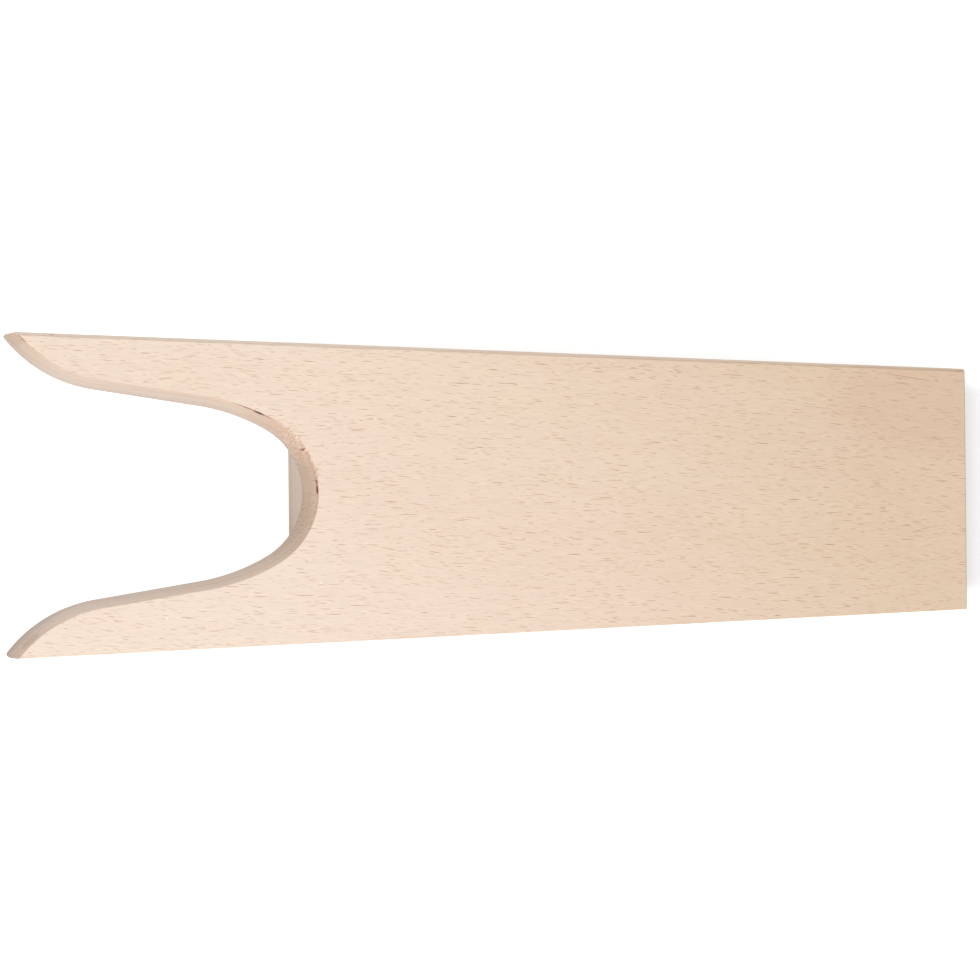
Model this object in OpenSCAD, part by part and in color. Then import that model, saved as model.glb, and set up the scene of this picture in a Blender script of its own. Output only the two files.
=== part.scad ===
// Boot jack of light beech: a tapered board with a heel notch in its wide end, held up at an
// angle by one cross riser that two wood screws pull tight from below.
// The board and the riser are drawn in the board's own frame: x runs from the horn tips to the
// rear end, y across, and z = 0 is the board's underside. stand() then tips them onto the floor.

/* [Board] */
// Length from the horn tips to the rear end
board_length = 344.5; // [320:0.5:370]
// Width across the horn tips
front_width = 110.6; // [106:0.2:118]
// Width of the rear end
rear_width = 87.5; // [75:0.1:100]
// Thickness of the planed board
board_thickness = 20; // [17:0.5:24]
// Radius of the sawn corners, seen from above
corner_radius = 0.6; // [0.4:0.1:4]
// Width of the chamfer that is planed along the outer edges
edge_chamfer = 1; // [0.4:0.1:1.6]
// Length of the flat that is planed under the rear end, where the board rests
rear_flat_length = 8; // [5:0.5:14]

/* [Heel notch] */
// Depth of the notch at the board's top face
notch_depth = 106; // [98:0.5:112]
// Radius at the closed end, where the back of the heel bears
heel_radius = 28.3; // [22:0.1:32]
// Angle that the closed end turns to each side before it eases into the cheeks
heel_sweep = 60.5; // [50:0.5:66]
// Radius of the cheeks, between the closed end and the straight flanks
cheek_radius = 72.7; // [50:0.1:85]
// Angle at which each straight flank opens towards the front
flank_angle = 9; // [7:0.5:12]
// Length of each straight flank
flank_length = 37; // [34:1:46]
// Radius of the rounded nose inside each horn
nose_radius = 44.8; // [40:0.1:52]
// How far the wall leans in, from the top face to the underside
notch_bevel = 2.7; // [0.5:0.1:4]
// Radius of the notch's sanded edges
notch_ease = 0.3; // [0.2:0.1:1]

/* [Riser] */
// Height of the riser's front face, square to the board
riser_height = 38; // [30:0.5:46]
// Depth of the riser along the board
riser_depth = 40; // [32:1:60]
// How far the riser's front face stands back from the notch's closed end
riser_setback = 1.1; // [0.5:0.1:4]

/* [Screws] */
// Outer diameter of the thread
thread_diameter = 4.5; // [4:0.1:5]
// Diameter at the thread's root
root_diameter = 3; // [2.6:0.1:3.2]
// Rise of the thread in one turn
thread_pitch = 2.2; // [1.8:0.1:2.6]
// Length of the threaded stretch, without the point
thread_length = 20; // [16:1:24]
// Length of the point
point_length = 4; // [3:0.5:5]
// Overall length of the screw
screw_length = 40; // [36:1:44]
// Diameter of the countersunk head
head_diameter = 9; // [8:0.1:10]
// Height of the straight rim round the head
head_rim = 0.5; // [0.3:0.1:0.8]
// How far the screw bites into the board
screw_bite = 13; // [10:0.5:14]
// Distance between the two screws
screw_spacing = 56; // [40:1:70]
// Width of each arm of the cross recess
recess_arm = 1.2; // [0.8:0.1:1.5]
// Depth of the cross recess
recess_depth = 2.6; // [1.5:0.1:2.8]

/* [Fits] */
// Gap round the screw's shank in the riser
shank_clearance = 0.25; // [0.1:0.05:0.5]
// Gap round the screw's head in its counterbore
head_clearance = 0.5; // [0.3:0.1:1]

/* [Hidden] */
$fn = 48;
beech = [0.93, 0.84, 0.75];
beech_riser = [0.89, 0.80, 0.70];
zinc = [0.74, 0.75, 0.76];
// Steps in each long arc of the notch, in each sawn corner and in each sanded edge
arc_steps = 16;
corner_steps = 4;
ease_steps = 3;
// How far cutters run past the faces that they open
overrun = 3;

// Outline of the board
taper_angle = atan((front_width - rear_width) / 2 / board_length);
function half_width(x) = front_width / 2 - x * tan(taper_angle);

// Centres of the arcs that make the left half of the notch, and the ends of its straight flank
across_flank = [sin(flank_angle), cos(flank_angle)];
along_flank = [-cos(flank_angle), sin(flank_angle)];
heel_centre = [notch_depth - heel_radius, 0];
cheek_centre = heel_centre - (cheek_radius - heel_radius) * [cos(heel_sweep), sin(heel_sweep)];
flank_end = cheek_centre + cheek_radius * across_flank + flank_length * along_flank;
nose_centre = flank_end + nose_radius * across_flank;
notch_reach = front_width / 2 + overrun;

// The rest: the riser's front face stands just behind the narrowest line of the notch's closed end
notch_end = notch_depth - notch_bevel * (1 - notch_ease / board_thickness);
riser_front = notch_end + riser_setback;
rest_x = board_length - rear_flat_length;
stand_angle = atan(riser_height / (rest_x - riser_front));

// Levels from the underside up, each as [height, distance from the full size]: the blank's
// chamfers, and the notch's rounded edges
chamfer_levels = [[0, edge_chamfer], [edge_chamfer, 0],
    [board_thickness - edge_chamfer, 0], [board_thickness, edge_chamfer]];
function ease_step(k) = notch_ease * [1 - cos(90 * k / ease_steps), 1 - sin(90 * k / ease_steps)];
lower_ease = [for (k = [0:ease_steps]) ease_step(k)];
upper_ease = [for (k = [ease_steps:-1:0]) [board_thickness - ease_step(k)[0], ease_step(k)[1]]];
eased_levels = concat(lower_ease, upper_ease);

// Where the tipped board reaches, to put the origin under the middle of the whole part
low_x = min([for (l = chamfer_levels) l[1] * cos(stand_angle) + l[0] * sin(stand_angle)]);
high_x = board_length * cos(stand_angle)
    + max([for (l = chamfer_levels) l[0] * sin(stand_angle) - l[1] * cos(stand_angle)]);
middle_x = (low_x + high_x) / 2;
function floor_x(x, z) = x * cos(stand_angle) + z * sin(stand_angle) - middle_x;

// The screws stand upright under the middle of the riser's foot
foot_front = floor_x(riser_front, -riser_height);
foot_rear_height = (rest_x - riser_front - riser_depth) * tan(stand_angle);
foot_rear = floor_x(riser_front + riser_depth, -foot_rear_height);
screw_x = (foot_front + foot_rear) / 2;
underside_at_screw = (floor_x(rest_x, 0) - screw_x) * tan(stand_angle);
screw_top = underside_at_screw + screw_bite;
head_recess = screw_top - screw_length;
head_height = head_rim + (head_diameter - root_diameter) / 2;

// Points along an arc about c, from one angle to another
function arc(c, r, from, to, steps) =
    [for (k = [0:steps]) c + r * [cos(from + (to - from) * k / steps), sin(from + (to - from) * k / steps)]];

function mirrored(points) = [for (k = [len(points) - 1:-1:0]) [points[k][0], -points[k][1]]];

// Half of the board's outline, inset evenly: the rear corner, then the front corner. A corner
// that the chamfer eats up keeps a tenth of a millimetre of radius.
function half_outline(inset) =
    let (centre = max(corner_radius, inset + 0.1), r = centre - inset, side = centre / cos(taper_angle),
        rear = [board_length - centre, half_width(board_length - centre) - side],
        front = [centre, half_width(centre) - side])
    concat(
        arc(rear, r, 0, 90 - taper_angle, corner_steps),
        arc(front, r, 90 - taper_angle, 180, corner_steps));

// Half of the notch, widened evenly: closed end, cheek, flank and the nose out past the board's side
function half_notch(widened) =
    let (r = nose_radius - widened, nose_end = asin((nose_centre[1] - notch_reach) / r) - 180)
    concat(
        arc(heel_centre, heel_radius + widened, 0, heel_sweep, arc_steps),
        arc(cheek_centre, cheek_radius + widened, heel_sweep, 90 - flank_angle, arc_steps),
        arc(nose_centre, r, -90 - flank_angle, nose_end, arc_steps),
        [[-overrun, notch_reach]]);

function notch_ring(widened) =
    let (half = half_notch(widened), past_heel = [for (k = [1:len(half) - 1]) half[k]])
    concat([[-overrun, 0]], mirrored(half), past_heel);

// The notch's half width changes with height by the bevel
function leaned(z) = -notch_bevel * (1 - z / board_thickness);

// Closed solid through rings of points at rising heights, each given as [height, points]
module skin(rings) {
    n = len(rings[0][1]);
    last = (len(rings) - 1) * n;
    points = [for (ring = rings, p = ring[1]) [p[0], p[1], ring[0]]];
    bottom = [for (j = [0:n - 1]) j];
    top = [for (j = [n:-1:1]) last + j % n];
    walls = [for (i = [0:len(rings) - 2], j = [0:n - 1], upper = [0, 1])
        let (a = i * n + j, b = i * n + (j + 1) % n)
        upper == 1 ? [a, a + n, b + n] : [a, b + n, b]];
    polyhedron(points, concat([bottom, top], walls), convexity = 6);
}

// Tips a solid from the board's frame onto the floor
module stand() {
    translate([-middle_x, 0, rest_x * sin(stand_angle)])
        rotate([0, stand_angle, 0])
            children();
}

// Everything below the floor, which planes the riser's foot and the board's rear flat
module below_floor() {
    translate([-board_length, -front_width, -2 * riser_height])
        cube([2 * board_length, 2 * front_width, 2 * riser_height]);
}

module board_blank() {
    skin([for (l = chamfer_levels) let (half = half_outline(l[1])) [l[0], concat(mirrored(half), half)]]);
}

module notch_cutter() {
    top = board_thickness;
    below = [-overrun, notch_ring(leaned(0) + notch_ease)];
    above = [top + overrun, notch_ring(leaned(top) + notch_ease)];
    through = [for (l = eased_levels) [l[0], notch_ring(leaned(l[0]) + l[1])]];
    skin(concat([below], through, [above]));
}

// The shape of a screw in the wood, widened by a gap: the thread's full width and its point
module screw_space(gap) {
    shoulder = screw_top - point_length;
    translate([0, 0, head_recess])
        cylinder(h = shoulder - head_recess, r = thread_diameter / 2 + gap);
    translate([0, 0, shoulder])
        cylinder(h = point_length, r1 = thread_diameter / 2 + gap, r2 = gap);
}

module at_screws() {
    for (side = [-1, 1])
        translate([screw_x, side * screw_spacing / 2, 0])
            children();
}

// Counterbore from the foot, the countersink that the head pulls against, and the clear hole
module riser_bore() {
    seat = head_recess + head_rim;
    seat_height = (head_diameter - thread_diameter) / 2 - shank_clearance;
    translate([0, 0, -overrun])
        cylinder(h = seat + overrun, d = head_diameter + 2 * head_clearance);
    translate([0, 0, seat])
        cylinder(h = seat_height, r1 = head_diameter / 2, r2 = thread_diameter / 2 + shank_clearance);
    cylinder(h = underside_at_screw + riser_height / 2, r = thread_diameter / 2 + shank_clearance);
}

// Cross recess in the head: two crossed slots inside a cone
module cross_recess() {
    intersection() {
        union() {
            translate([-head_diameter / 2, -recess_arm / 2, -overrun])
                cube([head_diameter, recess_arm, recess_depth + overrun]);
            translate([-recess_arm / 2, -head_diameter / 2, -overrun])
                cube([recess_arm, head_diameter, recess_depth + overrun]);
        }
        cylinder(h = recess_depth, r1 = head_diameter * 0.27, r2 = recess_arm * 0.7);
    }
}

// Threaded stretch as a saw-tooth turned round the axis, from its start up to the point
module thread() {
    turns = floor(thread_length / thread_pitch);
    start = screw_length - point_length - turns * thread_pitch;
    root = root_diameter / 2;
    crest = thread_diameter / 2;
    teeth = [for (k = [0:turns - 1], tooth = [0, 1])
        tooth == 0 ? [root, start + k * thread_pitch] : [crest, start + (k + 0.7) * thread_pitch]];
    rotate_extrude()
        polygon(concat([[0, start]], teeth, [[root, start + turns * thread_pitch], [0, screw_length]]));
}

// One wood screw, head down, its head's face at z = 0
module wood_screw() {
    difference() {
        union() {
            cylinder(h = head_rim, d = head_diameter);
            translate([0, 0, head_rim])
                cylinder(h = head_height - head_rim, r1 = head_diameter / 2, r2 = root_diameter / 2);
            cylinder(h = screw_length - point_length, d = root_diameter);
            thread();
        }
        cross_recess();
    }
}

module board() {
    color(beech)
        difference() {
            stand()
                difference() {
                    board_blank();
                    notch_cutter();
                }
            below_floor();
            at_screws()
                screw_space(0);
        }
}

module riser_block() {
    color(beech_riser)
        difference() {
            stand()
                intersection() {
                    translate([riser_front, -front_width / 2, -2 * riser_height])
                        cube([riser_depth, front_width, 2 * riser_height]);
                    translate([0, 0, -2 * riser_height])
                        linear_extrude(2 * riser_height)
                            polygon([
                                [0, -half_width(0)],
                                [board_length, -half_width(board_length)],
                                [board_length, half_width(board_length)],
                                [0, half_width(0)]]);
                }
            below_floor();
            at_screws()
                riser_bore();
        }
}

module riser_screw_left() {
    color(zinc)
        translate([screw_x, -screw_spacing / 2, head_recess])
            wood_screw();
}

module riser_screw_right() {
    color(zinc)
        translate([screw_x, screw_spacing / 2, head_recess])
            wood_screw();
}

board();
riser_block();
riser_screw_left();
riser_screw_right();
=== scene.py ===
# Boot jack: a tapered beech board with a heel notch, held up on a cross riser by two wood screws.
import math
import bpy
import bmesh
from mathutils import Matrix, Vector, noise


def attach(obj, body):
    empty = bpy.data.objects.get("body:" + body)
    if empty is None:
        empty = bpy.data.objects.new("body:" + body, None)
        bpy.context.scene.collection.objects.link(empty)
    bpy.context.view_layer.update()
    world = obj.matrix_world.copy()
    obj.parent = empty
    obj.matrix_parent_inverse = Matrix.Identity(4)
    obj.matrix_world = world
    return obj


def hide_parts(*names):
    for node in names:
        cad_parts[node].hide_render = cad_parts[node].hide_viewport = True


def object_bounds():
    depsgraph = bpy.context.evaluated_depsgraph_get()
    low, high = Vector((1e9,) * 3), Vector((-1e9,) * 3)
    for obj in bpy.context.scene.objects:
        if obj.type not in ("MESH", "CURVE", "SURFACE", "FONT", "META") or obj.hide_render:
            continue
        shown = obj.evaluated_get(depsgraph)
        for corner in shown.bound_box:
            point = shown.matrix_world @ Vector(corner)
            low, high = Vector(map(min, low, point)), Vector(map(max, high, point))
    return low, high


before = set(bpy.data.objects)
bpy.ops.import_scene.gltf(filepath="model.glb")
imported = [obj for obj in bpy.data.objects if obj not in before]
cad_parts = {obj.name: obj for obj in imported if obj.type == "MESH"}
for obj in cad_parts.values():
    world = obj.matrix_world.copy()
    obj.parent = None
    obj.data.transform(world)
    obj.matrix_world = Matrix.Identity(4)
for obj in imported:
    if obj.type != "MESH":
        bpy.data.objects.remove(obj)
cad_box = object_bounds()

# The board
# A flat-sawn beech plank, planed to 20 mm, sawn to a taper and notched for the heel. Its outer
# edges are chamfered with a block plane, and the notch keeps marks of the saw and the rasp.
mm = 0.001
board_length = 344.5 * mm
front_width = 110.6 * mm
rear_width = 87.5 * mm
board_thickness = 20 * mm
edge_chamfer = 1 * mm
rear_flat_length = 8 * mm
notch_depth = 106 * mm
heel_radius = 28.3 * mm
heel_sweep = 60.5
cheek_radius = 72.7 * mm
flank_angle = 9
flank_length = 37 * mm
nose_radius = 44.8 * mm
notch_bevel = 2.7 * mm
notch_ease = 0.3 * mm
riser_height = 38 * mm
riser_setback = 1.1 * mm
overrun = 4 * mm

# The riser's front face stands just behind the notch's closed end, and the board leans back on it.
# The rear end's upper arris is the part's rearmost line, so it places the board in the CAD box.
notch_end = notch_depth - notch_bevel * (1 - notch_ease / board_thickness)
riser_front = notch_end + riser_setback
rest_x = board_length - rear_flat_length
stand_angle = math.atan2(riser_height, rest_x - riser_front)
cad_rear = cad_box[1].x
rear_reach = math.cos(stand_angle) * board_length
rear_reach += math.sin(stand_angle) * (board_thickness - edge_chamfer)
stand = Matrix.Translation((cad_rear - rear_reach, 0, rest_x * math.sin(stand_angle)))
stand = stand @ Matrix.Rotation(stand_angle, 4, "Y")


def polar(centre, radius, degrees):
    angle = math.radians(degrees)
    return Vector((centre[0] + radius * math.cos(angle), centre[1] + radius * math.sin(angle), 0))


heel_centre = Vector((notch_depth - heel_radius, 0, 0))
cheek_centre = polar(heel_centre, heel_radius - cheek_radius, heel_sweep)
flank_start = polar(cheek_centre, cheek_radius, 90 - flank_angle)
flank_end = polar(flank_start, flank_length, 180 - flank_angle)
nose_centre = polar(flank_end, nose_radius, 90 - flank_angle)


def only(piece):
    if bpy.context.mode != "OBJECT":
        bpy.ops.object.mode_set(mode="OBJECT")
    bpy.ops.object.select_all(action="DESELECT")
    piece.select_set(True)
    bpy.context.view_layer.objects.active = piece


def edit(piece, kind="VERT"):
    only(piece)
    bpy.ops.object.mode_set(mode="EDIT")
    bpy.ops.mesh.select_mode(type=kind)
    bpy.ops.mesh.select_all(action="DESELECT")


def pick(piece, kind, chosen):
    """Selects the vertices, edges or faces for which chosen() is true."""
    edit(piece, {"verts": "VERT", "edges": "EDGE", "faces": "FACE"}[kind])
    mesh = bmesh.from_edit_mesh(piece.data)
    for element in getattr(mesh, kind):
        if chosen(element):
            element.select_set(True)
    mesh.select_flush_mode()
    bmesh.update_edit_mesh(piece.data)


def plane_off(piece, spot, outward):
    """Cuts away all that lies beyond a flat, and closes the cut."""
    edit(piece, "FACE")
    bpy.ops.mesh.select_all(action="SELECT")
    outward = Vector(outward).normalized()
    bpy.ops.mesh.bisect(
        plane_co=spot, plane_no=outward, use_fill=True, clear_outer=True, threshold=1e-6)


def cut_away(piece, cutter):
    only(piece)
    modifier = piece.modifiers.new("cut", "BOOLEAN")
    modifier.object = cutter
    modifier.solver = "EXACT"
    bpy.ops.object.modifier_apply(modifier="cut")
    bpy.data.objects.remove(cutter)


# The plank's rear end lies a little to one side, and neither end is sawn quite square
front_left, front_right = Vector((0.17, 55.29, 0)) * mm, Vector((0.2, -55.3, 0)) * mm
rear_left, rear_right = Vector((344.35, 42.98, 0)) * mm, Vector((343.95, -44.52, 0)) * mm
bpy.ops.object.select_all(action="DESELECT")
bpy.ops.mesh.primitive_cube_add(
    size=1, location=(board_length / 2, 0, board_thickness / 2),
    scale=(board_length, front_width, board_thickness))
board = bpy.context.object
board.name = "beech_board"
bpy.ops.object.transform_apply(location=True, rotation=True, scale=True)
corners = {(0, 1): front_left, (0, -1): front_right, (1, 1): rear_left, (1, -1): rear_right}
for (end, side), corner in corners.items():
    place = Vector((board_length * end, front_width / 2 * side, 0))
    pick(board, "verts", lambda v: (v.co.xy - place.xy).length < mm)
    bpy.ops.transform.translate(value=corner - place)

# Its upright corners are blunted, each by its own radius
blunted = (
    (front_left, 0.5 * mm), (front_right, 0.9 * mm),
    (rear_left, 0.2 * mm), (rear_right, 0.2 * mm))
for corner, radius in blunted:
    pick(board, "edges", lambda e: all((v.co.xy - corner.xy).length < 0.01 * mm for v in e.verts))
    bpy.ops.mesh.bevel(offset=radius, segments=4, affect="EDGES")

# Chamfers along the two sides and the rear end: how wide and how deep each is at the top
sides = {
    "left": (front_left, rear_left, 1.3 * mm, 1.35 * mm),
    "right": (rear_right, front_right, 0.65 * mm, 0.7 * mm),
    "rear": (rear_left, rear_right, 0.4 * mm, 0.4 * mm)}
lower_chamfer = 0.5 * mm
side_out = {}
for name, (start, end, width, drop) in sides.items():
    out = Vector((start.y - end.y, end.x - start.x, 0)).normalized()
    upper = start + Vector((0, 0, board_thickness - drop))
    plane_off(board, upper, out * drop + Vector((0, 0, width)))
    plane_off(board, start + Vector((0, 0, lower_chamfer)), out + Vector((0, 0, -1)))
    side_out[name] = out

# Cuts across the plank, so that its edges can be made uneven along their length
column = 3 * mm
for step in range(1, int(board_length / column)):
    bpy.ops.mesh.select_all(action="SELECT")
    bpy.ops.mesh.bisect(plane_co=(column * step, 0, 0), plane_no=(1, 0, 0))

# The saw's path round the notch: one half drawn from its closed end, then mirrored and filled
bpy.ops.object.mode_set(mode="OBJECT")
bpy.ops.object.select_all(action="DESELECT")
top = board_thickness + overrun
bpy.ops.mesh.primitive_plane_add(size=mm, location=(notch_depth, 0, top))
notch = bpy.context.object
bpy.ops.object.transform_apply(location=True, rotation=True, scale=True)
edit(notch)
bpy.ops.mesh.select_all(action="SELECT")
bpy.ops.mesh.merge(type="CENTER")


def turn(centre, degrees, steps):
    bpy.ops.mesh.spin(
        steps=steps, angle=-math.radians(degrees), center=(centre.x, centre.y, top), axis=(0, 0, 1))


def go(dx, dy):
    bpy.ops.mesh.extrude_region_move(TRANSFORM_OT_translate={"value": (dx, dy, 0)})


turn(heel_centre, heel_sweep, 110)
turn(cheek_centre, 90 - flank_angle - heel_sweep, 48)
flank_steps = 48
for step in range(flank_steps):
    go((flank_end.x - flank_start.x) / flank_steps, (flank_end.y - flank_start.y) / flank_steps)
reach = front_width / 2 + overrun
nose_turn = 90 - flank_angle - math.degrees(math.asin((nose_centre.y - reach) / nose_radius))
turn(nose_centre, -nose_turn, 44)
end = polar(nose_centre, nose_radius, -90 - flank_angle - nose_turn)
go(-2 * overrun - end.x, 0)
go(0, -reach)
bpy.ops.mesh.select_all(action="SELECT")
bpy.ops.mesh.duplicate()
bpy.ops.transform.resize(value=(1, -1, 1), center_override=(0, 0, 0))
bpy.ops.mesh.select_all(action="SELECT")
bpy.ops.mesh.remove_doubles(threshold=0.01 * mm)
bpy.ops.mesh.edge_face_add()


def into_wood(x, y):
    """Direction from the open notch square into its wall, level with the board's faces."""
    point = Vector((x, abs(y), 0))
    flank = (flank_end - flank_start).normalized()
    if (point - heel_centre).angle(Vector((1, 0, 0)), 0) <= math.radians(heel_sweep):
        away = point - heel_centre
    elif (point - flank_start).dot(flank) < 0:
        away = point - cheek_centre
    elif (point - flank_end).dot(flank) < 0:
        away = Vector((flank.y, -flank.x, 0))
    else:
        away = nose_centre - point
    away.normalize()
    return Vector((away.x, math.copysign(away.y, y), 0))


def sanding(x, y, z):
    """How wide an edge is here, against its usual width."""
    spot = Vector((x, y, z))
    return 1 + 0.2 * noise.noise(spot / (14 * mm)) + 0.08 * noise.noise(spot / (3 * mm))


# The saw's strokes stand 2.2 mm apart, coarser than real ones so that they show, and lean over as
# they rise. Places round the closed end are angles about its middle, in degrees, left above 0.
stroke_pitch = 2.2 * mm
stroke_slant = 0.45
strokes_at = -20
torn_at = 38
frayed_at = 26
wander_depth = 0.07 * mm
stroke_depth = 0.09 * mm
torn_depth = 0.26 * mm
chip_depth = 2.4 * mm
rasped_depth = 0.6 * mm
rasped_length = 32 * mm


def near(angle, middle, reach):
    """Falls from 1 at the middle angle to 0 at the end of its reach."""
    return max(0, 1 - abs((angle - middle) / reach))


def saw_marks(x, y, z):
    """How much deeper than its true line the saw and the rasp went here."""
    spot = Vector((x, y, z))
    depth = wander_depth * noise.noise(Vector((x, y, z / 4)) / (11 * mm))
    angle = math.degrees(math.atan2(y, x - heel_centre.x))
    along = math.radians(angle) * heel_radius

    # Slanting strokes of the saw in the closed end's right half
    waver = 2 * noise.noise(spot / (4 * mm))
    slant = math.sin((along - stroke_slant * z) * 2 * math.pi / stroke_pitch + waver)
    here = near(angle, strokes_at, 20) * (0.7 + 0.3 * noise.noise(spot / (4 * mm)))
    depth += stroke_depth * slant * min(1, 2 * here)

    # Torn fibres in its left half, where the saw came up against the grain
    torn = near(angle, torn_at, 20) * (0.5 + 0.5 * noise.noise(spot / (3.5 * mm)))
    fibres = noise.noise(Vector((x / 2.2, y / 2.2, z / 0.45)) / mm)
    fibres += 0.5 * noise.noise(Vector((x, y, z / 0.2)) / mm)
    depth += torn_depth * fibres * min(1, 1.5 * torn)

    # All this fades out over the last 1.5 mm to either edge
    depth *= min(1, max(0, min(z, board_thickness - z) / (1.5 * mm)))

    # The upper edge is chipped near there, and the rasp took the noses back a little at the top
    upward = z / board_thickness
    frayed = min(1, 2 * near(angle, frayed_at, 40))
    chip = max(0, noise.noise(spot / (1.3 * mm)) - 0.05) * max(0, upward * 6 - 5)
    depth += chip_depth * chip * frayed
    return depth + rasped_depth * upward * max(0, 1 - max(0, x) / rasped_length)


# The cutter is drawn downwards, ring by ring: the eased upper edge, the wall that leans in, and
# the eased lower edge. Each ring has the saw's wobble, so the boolean leaves it on the wall.
ease_rings = 3
wall_rings = 44
rings = [(board_thickness, notch_ease)]
for step in range(1, ease_rings + 1):
    angle = math.pi / 2 * step / ease_rings
    drop, width = notch_ease * (1 - math.cos(angle)), notch_ease * (1 - math.sin(angle))
    rings.append((board_thickness - drop, width))
wall = board_thickness - 2 * notch_ease
for step in range(1, wall_rings):
    rings.append((board_thickness - notch_ease - wall * step / wall_rings, 0))
rings += [(board_thickness - z, width) for z, width in reversed(rings[:ease_rings + 1])]
rings.append((-overrun, notch_ease))

# The left horn's upper edge is worn wider near its tip
worn_x = 9 * mm
worn_reach = 7 * mm
worn_wider = 2.4


def drawn_at(v):
    return round(v.co.x, 6), round(v.co.y, 6)


def draw_ring(height, width, line):
    """Shapes the selected ring at one height; line gives each vertex's place on the true notch."""
    mesh = bmesh.from_edit_mesh(notch.data)
    rim = board_thickness if height > board_thickness / 2 else 0
    on_edge = abs(height - rim) <= notch_ease
    drawn = {}
    for v in mesh.verts:
        if v.select:
            x, y, away = line[drawn_at(v)]
            ease = sanding(x, y, rim) if on_edge else 1
            if on_edge and rim and y > 0:
                ease += worn_wider * max(0, 1 - abs(x - worn_x) / worn_reach)
            z = rim + (height - rim) * ease
            lean = notch_bevel * (1 - z / board_thickness)
            v.co = Vector((x, y, z)) + away * (width * ease - lean + saw_marks(x, y, z))
            drawn[drawn_at(v)] = (x, y, away)
    bmesh.update_edit_mesh(notch.data)
    return drawn


edit(notch)
bpy.ops.mesh.select_all(action="SELECT")
mesh = bmesh.from_edit_mesh(notch.data)
line = {drawn_at(v): (v.co.x, v.co.y, into_wood(v.co.x, v.co.y)) for v in mesh.verts}
line = draw_ring(top, notch_ease, line)
for height, width in rings:
    bpy.ops.mesh.extrude_region_move()
    line = draw_ring(height, width, line)
bpy.ops.mesh.select_all(action="SELECT")
bpy.ops.mesh.normals_make_consistent(inside=False)
notch_aside = 0.26 * mm
bpy.ops.transform.translate(value=(0, notch_aside, 0))
cut_away(board, notch)

# The block plane's chamfers are a little uneven too
chamfer_band = 1.4 * mm
lower_band = 0.6 * mm
mesh = bmesh.new()
mesh.from_mesh(board.data)
for v in mesh.verts:
    rim = board_thickness if v.co.z > board_thickness / 2 else 0
    for name in ("left", "right"):
        inward = (sides[name][0] - v.co).dot(side_out[name])
        if inward < (chamfer_band if rim else lower_band) and abs(v.co.z - rim) < chamfer_band:
            more = 0.6 * (sanding(v.co.x, v.co.y, rim) - 1)
            v.co -= side_out[name] * (inward * more)
            v.co.z += (v.co.z - rim) * more
mesh.to_mesh(board.data)
mesh.free()

# The board stands on its rear flat, and two screws come up through the riser into its underside
screw_spacing = 56 * mm
screw_length = 40 * mm
screw_bite = 13 * mm
thread_diameter = 4.5 * mm
point_length = 4 * mm
point_radius = 0.1 * mm
riser_depth = 40 * mm
foot_front = (stand @ Vector((riser_front, 0, -riser_height))).x
foot_rear_height = (rest_x - riser_front - riser_depth) * math.tan(stand_angle)
foot_rear = (stand @ Vector((riser_front + riser_depth, 0, -foot_rear_height))).x
screw_x = (foot_front + foot_rear) / 2
rest_line_x = (stand @ Vector((rest_x, 0, 0))).x
screw_top = (rest_line_x - screw_x) * math.tan(stand_angle) + screw_bite
head_recess = screw_top - screw_length


def stand_on_floor(piece):
    """Tips a piece up from the board's frame and planes off what is below the floor."""
    only(piece)
    piece.matrix_world = stand
    bpy.ops.object.transform_apply(location=True, rotation=True, scale=True)
    plane_off(piece, (0, 0, 0), (0, 0, -1))
    bpy.ops.object.mode_set(mode="OBJECT")


def drill(piece, x, y, low, high, low_radius, high_radius):
    """Cuts a round hole or a countersink that runs upright between two heights."""
    bpy.ops.object.select_all(action="DESELECT")
    bpy.ops.mesh.primitive_cone_add(
        vertices=64, radius1=low_radius, radius2=high_radius, depth=high - low,
        location=(x, y, (low + high) / 2))
    cut_away(piece, bpy.context.object)


stand_on_floor(board)
for side in (-1, 1):
    y = side * screw_spacing / 2
    shoulder = screw_top - point_length
    drill(board, screw_x, y, head_recess, shoulder, thread_diameter / 2, thread_diameter / 2)
    drill(board, screw_x, y, shoulder, screw_top, thread_diameter / 2, point_radius)


def finish_mesh(piece, sharp=30):
    """Splits the shading at real edges only, and lets the flat faces stay flat."""
    only(piece)
    bpy.ops.object.shade_smooth_by_angle(angle=math.radians(sharp))
    piece.modifiers.new("flat faces", "WEIGHTED_NORMAL").keep_sharp = True
    bpy.ops.object.modifier_apply(modifier="flat faces")


finish_mesh(board)


def colour(code):
    """An sRGB hex colour in linear light."""
    parts = [int(code[i:i + 2], 16) / 255 for i in (0, 2, 4)]
    return [c / 12.92 if c <= 0.04045 else ((c + 0.055) / 1.055) ** 2.4 for c in parts] + [1]


def node(tree, kind, inputs=(), **settings):
    """Adds a node, sets it, and gives its inputs, in order or by name, a value or a link."""
    made = tree.nodes.new("ShaderNode" + kind)
    for name, value in settings.items():
        setattr(made, name, value)
    if isinstance(inputs, dict):
        pairs = [(made.inputs[name], value) for name, value in inputs.items()]
    else:
        pairs = zip([socket for socket in made.inputs if socket.enabled], inputs)
    for socket, value in pairs:
        if isinstance(value, bpy.types.Node):
            value = next(output for output in value.outputs if output.enabled)
        if isinstance(value, bpy.types.NodeSocket):
            tree.links.new(value, socket)
        else:
            socket.default_value = value
    return made


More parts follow.
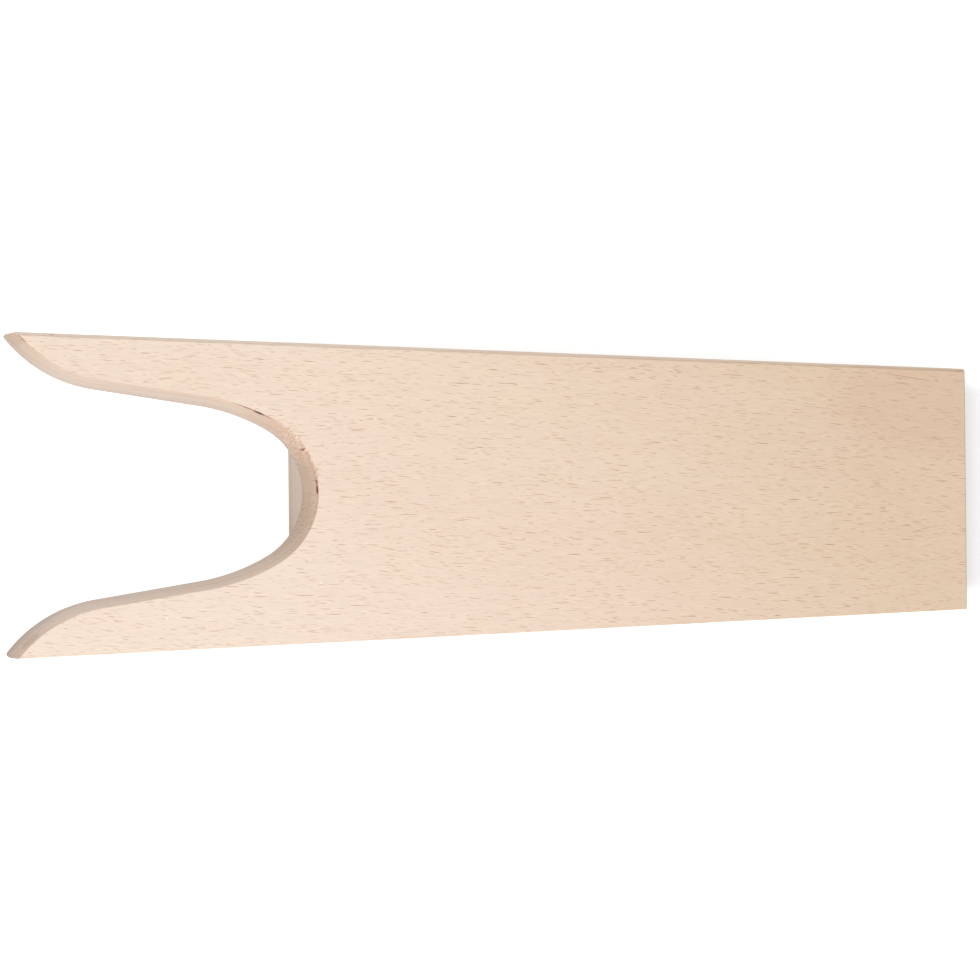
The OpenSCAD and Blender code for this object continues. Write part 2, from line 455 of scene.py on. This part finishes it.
def ray_flecks(tree, grain, cell, half, seed, skew=1.7, slope=0.08):
    """Medullary rays: a small lens of darker wood in each cell of the grain, cut by the surface.

    The cells are skewed, so that the flecks don't stand in rows. Each fleck has its own strength,
    length and slope. Gives the fleck and the area round it, each from 0 to 1.
    """
    x, y, z = node(tree, "SeparateXYZ", [grain]).outputs
    skewed = node(tree, "Math", [y, skew, x], operation="MULTIPLY_ADD")
    skewed = node(tree, "CombineXYZ", [skewed, y, z])
    scaled = node(tree, "VectorMath", [skewed, seed], operation="ADD")
    scaled = node(tree, "VectorMath", [scaled, cell], operation="DIVIDE")
    cells = node(tree, "TexVoronoi", {"Vector": scaled, "Scale": 1}).outputs
    strength, length, lean = node(tree, "SeparateColor", [cells["Color"]]).outputs

    # From the middle of the cell, with the skew taken out again and a little lean put in
    off = node(tree, "VectorMath", [scaled, cells["Position"]], operation="SUBTRACT")
    off = node(tree, "VectorMath", [off, cell], operation="MULTIPLY")
    x, y, z = node(tree, "SeparateXYZ", [off]).outputs
    along = node(tree, "Math", [y, -skew, x], operation="MULTIPLY_ADD")
    lean = node(tree, "MapRange", [lean, 0, 1, -slope, slope])
    across = node(tree, "Math", [along, lean, y], operation="MULTIPLY_ADD")
    length = node(tree, "MapRange", [length, 0, 1, 0.45, 1.6])
    along = node(tree, "Math", [along, length], operation="DIVIDE")
    lens = node(tree, "CombineXYZ", [along, across, z])
    lens = node(tree, "VectorMath", [lens, half], operation="DIVIDE")
    span = node(tree, "VectorMath", [lens], operation="LENGTH")
    strength = node(tree, "Math", [strength, 1.6], operation="POWER")
    fleck = node(tree, "MapRange", [span, 1.15, 0.55], interpolation_type="SMOOTHSTEP")
    halo = node(tree, "MapRange", [span, 3.4, 1.2], interpolation_type="SMOOTHSTEP")
    return [node(tree, "Math", [shape, strength], operation="MULTIPLY") for shape in (fleck, halo)]


multiplied = {"data_type": "RGBA", "blend_type": "MULTIPLY"}


def beech(name, place, turned, seed, tone_of, marks_and_light_of=None):
    """Steamed beech, planed and sanded bare: close, even wood with small dark ray flecks."""
    material = bpy.data.materials.new(name)
    material.use_nodes = True
    tree = material.node_tree
    tree.nodes.clear()

    # Places in mm in the piece's own frame: x along the fibres, z square to its broad faces
    where = node(tree, "TexCoord").outputs["Object"]
    in_mm = {"Location": place, "Rotation": turned, "Scale": (mm, mm, mm)}
    spot = node(tree, "Mapping", {"Vector": where, **in_mm}, vector_type="TEXTURE")
    facing = node(tree, "NewGeometry").outputs["Normal"]
    to_piece = {"vector_type": "NORMAL", "convert_from": "WORLD", "convert_to": "OBJECT"}
    facing = node(tree, "VectorTransform", [facing], **to_piece)
    facing = node(tree, "Mapping", {"Vector": facing, "Rotation": turned}, vector_type="TEXTURE")
    facing = node(tree, "VectorMath", [facing], operation="ABSOLUTE")
    end_on, side_on, broad_on = node(tree, "SeparateXYZ", [facing]).outputs

    # The fibres wander a few degrees either way, and run slightly downhill across the board
    slow = node(tree, "VectorMath", [spot, (1 / 60, 1 / 24, 1 / 24)], operation="MULTIPLY")
    drift = node(tree, "TexNoise", {"Vector": slow, "Scale": 1, "Detail": 2, "Roughness": 0.4})
    drift = drift.outputs["Color"]
    drift = node(tree, "VectorMath", [drift, (0.5, 0.5, 0.5)], operation="SUBTRACT")
    drift = node(tree, "VectorMath", [drift, (0, 6, 6), spot], operation="MULTIPLY_ADD")
    x = node(tree, "SeparateXYZ", [spot]).outputs["X"]
    downhill = node(tree, "Math", [x, 0.07], operation="MULTIPLY")
    downhill = node(tree, "CombineXYZ", {"Y": downhill})
    grain = node(tree, "VectorMath", [drift, downhill], operation="ADD")

    # Broad tone: pinkish and creamy areas 50 to 100 mm long
    broad = node(
        tree, "VectorMath", [grain, (1 / 90, 1 / 26, 1 / 26), seed], operation="MULTIPLY_ADD")
    areas = node(tree, "TexNoise", {"Vector": broad, "Scale": 1, "Detail": 2}).outputs
    tone = tone_of(tree, spot, areas["Fac"])
    pink = node(tree, "SeparateColor", [areas["Color"]]).outputs["Green"]
    pink = node(tree, "MapRange", [pink, 0.35, 0.65])
    tint = node(tree, "Mix", [pink, colour("FFFEFB"), colour("FFFCFB")], data_type="RGBA")
    tone = node(tree, "Mix", [1, tone, tint], **multiplied)

    # Growth rings some 2.4 mm wide round a heart below the piece: each ends in a darker line,
    # which shows on sawn ends and edges and hardly at all on the broad faces
    heart, ring_width = (0, 9, -62), 2.4
    years = node(tree, "VectorMath", [grain, heart], operation="SUBTRACT")
    years = node(tree, "VectorMath", [years, (0, 1, 1)], operation="MULTIPLY")
    years = node(tree, "VectorMath", [years], operation="LENGTH")
    seasons = node(tree, "CombineXYZ", [years])
    seasons = node(tree, "TexNoise", {"Vector": seasons, "Scale": 0.3, "Detail": 1})
    years = node(tree, "Math", [years, 1 / ring_width], operation="MULTIPLY")
    years = node(tree, "Math", [seasons, 3, years], operation="MULTIPLY_ADD")
    years = node(tree, "Math", [years], operation="FRACT")
    late = node(tree, "MapRange", [years, 0.45, 0.92])
    early = node(tree, "MapRange", [years, 1, 0.94])
    late = node(tree, "Math", [late, early], operation="MULTIPLY")
    shown = node(tree, "MapRange", [broad_on, 0.95, 0.6, 0.05, 0.42])
    late = node(tree, "Math", [late, shown], operation="MULTIPLY")
    tone = node(tree, "Mix", [late, tone, colour("EBDCCD")], **multiplied)

    # Fine fibres: streaks 0.38 mm wide and some 7 mm long, coarser than real ones so that they show
    fine = node(tree, "VectorMath", [grain, (1 / 7, 1 / 0.38, 1 / 0.38)], operation="MULTIPLY")
    fibre = node(tree, "TexNoise", {"Vector": fine, "Scale": 1, "Detail": 3, "Roughness": 0.65})
    streak = node(tree, "MapRange", [fibre, 0.25, 0.75, 0.94, 1.055])
    tone = node(tree, "Mix", [1, tone, streak], **multiplied)

    # Ray flecks in three sizes, the larger with a hair of paler wood beside them: the room that
    # each takes along, across and into the wood, half its own size, its colour, and the paler
    # wood's strength. On an edge that cuts the rays flat they are broad, and hardly darker.
    flecks = (
        ((11, 2.7, 12), (2.6, 0.12, 9), "C1A590", 0.9),
        ((7.5, 1.75, 9), (2.1, 0.115, 6), "CAB09D", 0.6),
        ((4.8, 1.0, 7), (1.5, 0.11, 5), "D8C4B5", 0))
    cut_flat = node(tree, "MapRange", [side_on, 0.5, 0.95, 1, 0.16])
    for cell, half, code, paler in flecks:
        fleck, halo = ray_flecks(tree, grain, cell, half, seed)
        seed = seed[1:] + seed[:1]
        if paler:
            halo = node(tree, "Math", [halo, paler], operation="MULTIPLY")
            halo = node(tree, "Math", [halo, cut_flat], operation="MULTIPLY")
            tone = node(tree, "Mix", [halo, tone, (1.05, 1.05, 1.05, 1)], **multiplied)
        fleck = node(tree, "Math", [fleck, cut_flat], operation="MULTIPLY")
        tone = node(tree, "Mix", [fleck, tone, colour(code)], **multiplied)
    if marks_and_light_of:
        tone = marks_and_light_of(tree, spot, broad_on, tone)

    # End grain drinks light: darker and warmer where the surface cuts the fibres across
    end_grain = node(tree, "MapRange", [end_on, 0.3, 0.95], interpolation_type="SMOOTHSTEP")
    tone = node(tree, "Mix", [end_grain, tone, colour("E5DDD6")], **multiplied)

    relief = node(tree, "Bump", {"Height": fibre, "Distance": 0.03 * mm, "Strength": 0.6})
    surface = node(tree, "BsdfPrincipled", {
        "Base Color": tone, "Roughness": node(tree, "MapRange", [fibre, 0.2, 0.8, 0.62, 0.52]),
        "Normal": relief, "IOR": 1.5, "Specular IOR Level": 0.2})
    node(tree, "OutputMaterial", {"Surface": surface})
    return material


def board_tone(tree, spot, area):
    """Cream at the horns, and more tan towards the rear and the left side."""
    x, y, _ = node(tree, "SeparateXYZ", [spot]).outputs
    along = node(tree, "MapRange", [x, 88, 328])
    aside = node(tree, "MapRange", [y, -55, 55, -0.08, 0.13])
    patchy = node(tree, "MapRange", [area, 0.3, 0.7, -0.06, 0.06])
    amount = node(tree, "Math", [along, aside], operation="ADD")
    amount = node(tree, "Math", [amount, patchy], operation="ADD")
    return node(tree, "Mix", [amount, colour("F9E6D6"), colour("E9D1B7")], data_type="RGBA")


# Marks and painted light, in mm from the horns' tips and in degrees: middle, turn, half sizes,
# colour and strength
marks_and_painted_light = (
    # The scorched streak under the left cheek's upper edge, and its darkest part
    ((84.6, 28.6, 18.2), -21, (9.3, 2.8, 0.85), "843C24", 0.85),
    ((85.9, 27.8, 17.9), -22, (2.5, 1.2, 1.9), "4E1C0E", 1),
    # The reddish slit at the middle of the closed end, with pale wood beside it
    ((105.6, 1.15, 18.2), 88, (1.75, 2, 1.3), "7A301F", 1),
    ((105.5, 3.2, 17.7), 88, (1.7, 2, 0.7), "A05E4E", 1),
    ((105.2, -1.9, 14.5), 88, (1.1, 2, 5), "F6ECE2", 0.55),
    # The short dark tick left of it, and the tan and honey-coloured wood round the tick
    ((101.6, 15.1, 15.5), -55, (0.27, 2.4, 4.2), "7E5434", 1),
    ((89.5, 24.8, 12), -34, (13, 4, 8), "DFAE84", 0.2),
    ((101.8, 13.4, 11), -62, (1.7, 2.4, 4), "F3CFA2", 0.35),
    # Bruises on the left horn's edges, and painted shade and a pinkish patch on both horns' tips
    ((4.9, 52.6, 18.7), -46, (2.9, 1.2, 0.55), "7A543E", 0.9),
    ((15.4, 54.6, 19.4), -2, (1.6, 0.7, 0.6), "A98A70", 0.7),
    ((7.5, -49.2, 14.5), 50, (4.4, 2.4, 5), "DCAE98", 0.4),
    ((13, -50, 3), 30, (17, 12, 6), "C4AC9A", 0.26),
    ((2, 53, 12), 0, (5, 4, 9), "C9A88F", 0.22),
    # The top of the left flank, a little darker, and fresh wood over the saw's strokes
    ((42, 42, 15.5), -9, (50, 13, 3.4), "DCC0A8", 0.2),
    ((103.5, -9, 16.6), 72, (9, 4, 2.8), "FFEEDC", 0.5),
    # Growth lines, a reddish dot and a bruise where the left side meets the rear end
    ((322.5, 39.8, 20), -9, (11, 0.2, 1), "B88E70", 0.65),
    ((320, 37.6, 20), -4, (3, 0.17, 1), "B88E70", 0.6),
    ((341.7, 38.4, 20), -2, (2.7, 0.17, 1), "BC9074", 0.6),
    ((333.3, 38.6, 20), 0, (0.6, 0.35, 1), "D08A6C", 0.6),
    ((342, 42.2, 19.9), -3, (2.2, 0.35, 0.4), "8D6D55", 0.8),
    # Painted highlights along the rear end's upper edge, in pale grey-lavender, and on the left
    # side's chamfer, which faces away from the lamp, and a tan area between them
    ((344.4, -0.8, 19.9), 90, (47, 0.7, 0.9), "D8D0DA", 0.7),
    ((172, 49.4, 18.9), -2, (250, 1.7, 1.4), "FFECDA", 0.5),
    ((336, 30, 20), -3, (50, 20, 3), "DDB49C", 0.25),
    # Two pale spots on the right half of the top face
    ((53.2, -42.5, 20), 0, (0.8, 0.6, 1), "FFF6EC", 0.7),
    ((106.4, -31.1, 20), 0, (0.7, 0.5, 1), "FFF6EC", 0.7))


def board_marks_and_painted_light(tree, spot, broad_on, tone):
    """Scorched, torn and chipped places, and painted light and shade; the noise makes their borders
    ragged.
    """
    rough = node(tree, "TexNoise", {"Vector": spot, "Scale": 1.1, "Detail": 3, "Roughness": 0.7})
    rough = rough.outputs["Color"]
    rough = node(tree, "VectorMath", [rough, (0.5, 0.5, 0.5)], operation="SUBTRACT")
    rough = node(tree, "VectorMath", [rough, (0.9, 0.4, 0.7), spot], operation="MULTIPLY_ADD")
    for middle, turned, half, code, strength in marks_and_painted_light:
        shape = {"Location": middle, "Rotation": (0, 0, math.radians(turned)), "Scale": half}
        local = node(tree, "Mapping", {"Vector": rough, **shape}, vector_type="TEXTURE")
        span = node(tree, "VectorMath", [local], operation="LENGTH")
        cover = node(
            tree, "MapRange", [span, 1.1, 0.6, 0, strength], interpolation_type="SMOOTHSTEP")
        tone = node(tree, "Mix", [cover, tone, colour(code)], data_type="RGBA")

    # The closed end of the notch, apart from its eased edges, in polar terms about its middle. It
    # fades out from 32 to 35 mm off that middle, and from 9.4 to 9.8 mm off the wall's mid height.
    x, y, z = node(tree, "SeparateXYZ", [rough]).outputs
    x = node(tree, "Math", [x, heel_centre.x / mm], operation="SUBTRACT")
    angle = node(tree, "Math", [y, x], operation="ARCTAN2")
    flat_off = node(tree, "VectorMath", [node(tree, "CombineXYZ", [x, y])], operation="LENGTH")
    in_reach = node(tree, "MapRange", [flat_off, 35, 32])
    off_middle = node(tree, "Math", [z, board_thickness / 2 / mm], operation="SUBTRACT")
    off_middle = node(tree, "Math", [off_middle], operation="ABSOLUTE")
    off_edges = node(tree, "MapRange", [off_middle, 9.8, 9.4])
    closed_end = node(tree, "Math", [in_reach, off_edges], operation="MULTIPLY")

    # The saw's slanting strokes mark its right half, pressed harder at some places than at others.
    # Their light and dark bands are painted shade and painted highlights of the strokes' ridges.
    along = node(tree, "Math", [angle, heel_radius / mm], operation="MULTIPLY")
    slant = node(tree, "Math", [z, -stroke_slant, along], operation="MULTIPLY_ADD")
    waver = node(tree, "TexNoise", {"Vector": spot, "Scale": 0.3, "Detail": 2})
    slant = node(tree, "Math", [waver, 3.4, slant], operation="MULTIPLY_ADD")
    stroke_shading = node(tree, "Math", [slant, 2 * math.pi / (stroke_pitch / mm)], operation="MULTIPLY")
    stroke_shading = node(tree, "Math", [stroke_shading], operation="SINE")
    stroke_shading = node(tree, "MapRange", [stroke_shading, -0.8, 0.9, 1.07, 0.87])
    apart = node(tree, "Math", [angle, math.radians(strokes_at)], operation="SUBTRACT")
    apart = node(tree, "Math", [apart], operation="ABSOLUTE")
    here = node(tree, "MapRange", [apart, math.radians(22), math.radians(12)])
    here = node(tree, "Math", [here, closed_end], operation="MULTIPLY")
    pressed = node(tree, "TexNoise", {"Vector": spot, "Scale": 0.55})
    pressed = node(tree, "MapRange", [pressed, 0.36, 0.58, 0.3, 1])
    here = node(tree, "Math", [here, pressed], operation="MULTIPLY")
    tone = node(tree, "Mix", [here, tone, stroke_shading], **multiplied)

    # Torn fibres mark its left half: darker hollows and paler raised ends, some 0.45 mm wide, that
    # run up the wall;
    # the dark is painted shade and the pale painted highlights of their relief. Their colour
    # reaches 1 degree further left than the tearing itself.
    painted_hollow_shade, painted_fibre_highlight, tint_at = (0.89, 0.87, 0.85, 1), (1.36, 1.36, 1.34, 1), torn_at + 1
    hair = node(tree, "Math", [z, -0.05, along], operation="MULTIPLY_ADD")
    hair = node(tree, "CombineXYZ", [hair, z])
    hair = node(tree, "VectorMath", [hair, (2.2, 0.24, 1)], operation="MULTIPLY")
    hair = node(tree, "TexNoise", {"Vector": hair, "Scale": 1, "Detail": 4, "Roughness": 0.7})
    hair = node(tree, "MapRange", [hair, 0.4, 0.6])
    hair = node(tree, "Mix", [hair, painted_hollow_shade, painted_fibre_highlight], data_type="RGBA")
    apart = node(tree, "Math", [angle, math.radians(tint_at)], operation="SUBTRACT")
    apart = node(tree, "Math", [apart], operation="ABSOLUTE")
    here = node(tree, "MapRange", [apart, math.radians(20), math.radians(8)])
    here = node(tree, "Math", [here, closed_end], operation="MULTIPLY")
    tone = node(tree, "Mix", [here, tone, hair], **multiplied)

    # Painted shade on the upright faces: paler at the top, and darker and greyer lower down, where
    # less light reaches
    lit_top_tint, shaded_low_tint = (1.01, 0.99, 0.98, 1), (0.83, 0.85, 0.88, 1)
    upright = node(tree, "MapRange", [broad_on, 0.9, 0.5])
    height = node(tree, "SeparateXYZ", [spot]).outputs["Z"]
    lower = node(tree, "MapRange", [height, 17, 2])
    painted_wall_shade = node(tree, "Mix", [lower, lit_top_tint, shaded_low_tint], data_type="RGBA")
    return node(tree, "Mix", [upright, tone, painted_wall_shade], **multiplied)


board.data.materials.clear()
board.data.materials.append(beech(
    "planed steamed beech", stand.translation, (0, stand_angle, 0), (3.1, 1.7, 8.3),
    board_tone, board_marks_and_painted_light))
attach(board, "root")
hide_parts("board")

# The riser
# A cross block of the same beech, glued under the board behind the notch. It is sawn to the
# board's taper, its grain runs across the board, and its foot is planed level with the floor.
riser_ease = 0.5 * mm
side_slope = (front_width - rear_width) / 2 / board_length
depth = 2 * riser_height
bpy.ops.object.select_all(action="DESELECT")
bpy.ops.mesh.primitive_cube_add(
    size=1, location=(riser_front + riser_depth / 2, 0, -depth / 2),
    scale=(riser_depth, front_width, depth))
riser = bpy.context.object
riser.name = "beech_riser_block"
bpy.ops.object.transform_apply(location=True, rotation=True, scale=True)
for x in (riser_front, riser_front + riser_depth):
    pick(riser, "verts", lambda v: abs(v.co.x - x) < mm)
    narrowed = 1 - 2 * side_slope * x / front_width
    bpy.ops.transform.resize(value=(1, narrowed, 1), center_override=(0, 0, 0))
stand_on_floor(riser)

# All its edges are eased, but for those against the board
board_up = stand.to_3x3() @ Vector((0, 0, 1))
pick(riser, "edges", lambda e: not any(face.normal.dot(board_up) > 0.99 for face in e.link_faces))
bpy.ops.mesh.bevel(offset=riser_ease, segments=3, affect="EDGES")
bpy.ops.object.mode_set(mode="OBJECT")

# For each screw a counterbore, a countersink that starts just inside it, and a clear hole
head_diameter = 9 * mm
head_rim = 0.5 * mm
head_clearance = 0.5 * mm
shank_clearance = 0.25 * mm
seat = head_recess + head_rim
bore_radius = head_diameter / 2 + head_clearance
clear_radius = thread_diameter / 2 + shank_clearance
sink_bottom = seat - 0.01 * mm
sink_top = seat + head_diameter / 2 - clear_radius
for side in (-1, 1):
    y = side * screw_spacing / 2
    drill(riser, screw_x, y, -overrun, seat, bore_radius, bore_radius)
    drill(riser, screw_x, y, sink_bottom, sink_top, head_diameter / 2, clear_radius)
    drill(riser, screw_x, y, seat, screw_top, clear_radius, clear_radius)
finish_mesh(riser)


def riser_shaded_tone(tree, spot, area):
    """The block's wood is a little greyer and darker than the board's: painted shade, the cast it
    has under the board.
    """
    patchy = node(tree, "MapRange", [area, 0.3, 0.7])
    return node(tree, "Mix", [patchy, colour("E1D3C5"), colour("D8C8B8")], data_type="RGBA")


# The riser's tone carries painted shade
grain_start = stand @ Vector((riser_front, 0, -riser_height))
riser.data.materials.clear()
riser.data.materials.append(beech(
    "sawn beech block", grain_start, (0, 0, math.pi / 2), (5.9, 2.3, 4.1), riser_shaded_tone))
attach(riser, "root")
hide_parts("riser_block")

# The screws
# Two countersunk wood screws of zinc-plated steel, driven up through the riser's counterbores.
# The plating is bright, with a faint mottle about a millimetre across.
zinc = bpy.data.materials.new("bright zinc plate")
zinc.use_nodes = True
tree = zinc.node_tree
tree.nodes.clear()
where = node(tree, "TexCoord").outputs["Object"]
mottle = node(tree, "TexNoise", {"Vector": where, "Scale": 900, "Detail": 3})
surface = node(tree, "BsdfPrincipled", {
    "Base Color": node(tree, "Mix", [mottle, colour("B9BCBF"), colour("CBCDCE")], data_type="RGBA"),
    "Metallic": 1, "Roughness": node(tree, "MapRange", [mottle, 0, 1, 0.24, 0.4])})
node(tree, "OutputMaterial", {"Surface": surface})
for name in ("riser_screw_left", "riser_screw_right"):
    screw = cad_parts[name]
    screw.data.materials.clear()
    screw.data.materials.append(zinc)

# The floor
# A sheet of matt white board, wide enough for every view. It takes the object's shadow.
bpy.ops.object.select_all(action="DESELECT")
bpy.ops.mesh.primitive_plane_add(size=12, location=(0, 0, 0))
floor = bpy.context.object
floor.name = "white_floor"
white = bpy.data.materials.new("matt white floor")
white.use_nodes = True
tree = white.node_tree
tree.nodes.clear()
paper = node(tree, "BsdfDiffuse", {"Color": (0.79, 0.8, 0.81, 1)})

# The glow keeps the sheet white in the picture, and is weaker under the board and past its rear
# end, where the shadow shows: in full up to shade_side off the middle line and from shade_front on
shade_side, shade_side_end = 34 * mm, 44.5 * mm
shade_front, shade_front_end = -20 * mm, -35 * mm
open_glow, shaded_glow = 0.66, 0.29
x, y, _ = node(tree, "SeparateXYZ", [node(tree, "TexCoord").outputs["Object"]]).outputs
aside = node(tree, "Math", [y], operation="ABSOLUTE")
aside = node(tree, "MapRange", [aside, shade_side_end, shade_side], interpolation_type="SMOOTHSTEP")
behind = node(tree, "MapRange", [x, shade_front_end, shade_front], interpolation_type="SMOOTHSTEP")
shaded = node(tree, "Math", [aside, behind], operation="MULTIPLY")
glow = node(tree, "MapRange", [shaded, 0, 1, open_glow, shaded_glow])
path = node(tree, "LightPath").outputs
seen = node(tree, "Math", [path["Is Camera Ray"], path["Is Glossy Ray"]], operation="MAXIMUM")
glow = node(tree, "Math", [glow, seen], operation="MULTIPLY")
glow = node(tree, "Emission", {"Color": (1, 1, 1, 1), "Strength": glow})
both = node(tree, "AddShader", [paper, glow])
node(tree, "OutputMaterial", {"Surface": both})
floor.data.materials.append(white)

# The light
# A soft lamp 1.3 m square, high on the viewer's side, and pale light from all round. The dome
# lights the object, and the camera and glossy surfaces see a white backdrop in its place.
world = bpy.data.worlds.new("studio")
bpy.context.scene.world = world
world.use_nodes = True
tree = world.node_tree
tree.nodes.clear()
dome = node(tree, "Background", {"Color": (1, 1, 1, 1), "Strength": 0.565})
backdrop = node(tree, "Background", {"Color": (1, 1, 1, 1), "Strength": 1})
path = node(tree, "LightPath").outputs
seen = node(tree, "Math", [path["Is Camera Ray"], path["Is Glossy Ray"]], operation="MAXIMUM")
mixed = node(tree, "MixShader", [seen, dome, backdrop])
node(tree, "OutputWorld", {"Surface": mixed})
lamp = bpy.data.lights.new("soft lamp", "AREA")
lamp.shape = "SQUARE"
lamp.size = 1.3
lamp.energy = 18
lamp_object = bpy.data.objects.new("soft_lamp", lamp)
bpy.context.scene.collection.objects.link(lamp_object)
lamp_object.location = (-0.36, -0.7, 1.75)
lamp_aim = Vector((0, 0, 0.05))
lamp_turn = (lamp_aim - lamp_object.location).to_track_quat("-Z", "Y")
lamp_object.rotation_euler = lamp_turn.to_euler()

# The camera
# It looks almost straight down at the middle of the board's top face, from 1 m off, and leans a
# little to the notched end and to the right side. Its lens gives the board the photograph's size.
aim = stand @ Vector((166.6 * mm, 0.33 * mm, board_thickness))
distance = 1000 * mm
lean_forward = math.radians(12.9)
lean_right = math.radians(0.789)
twist = math.radians(-0.682)
camera = bpy.data.objects.new("camera", bpy.data.cameras.new("camera"))
bpy.context.scene.collection.objects.link(camera)
turned = Matrix.Rotation(stand_angle - lean_forward, 4, "Y") @ Matrix.Rotation(lean_right, 4, "X")
turned = turned @ Matrix.Rotation(twist, 4, "Z")
camera.matrix_world = Matrix.Translation(aim) @ turned @ Matrix.Translation((0, 0, distance))
camera.data.lens = 105.06
camera.data.sensor_width = 36
bpy.context.scene.camera = camera
bpy.context.scene.view_settings.view_transform = "Standard"
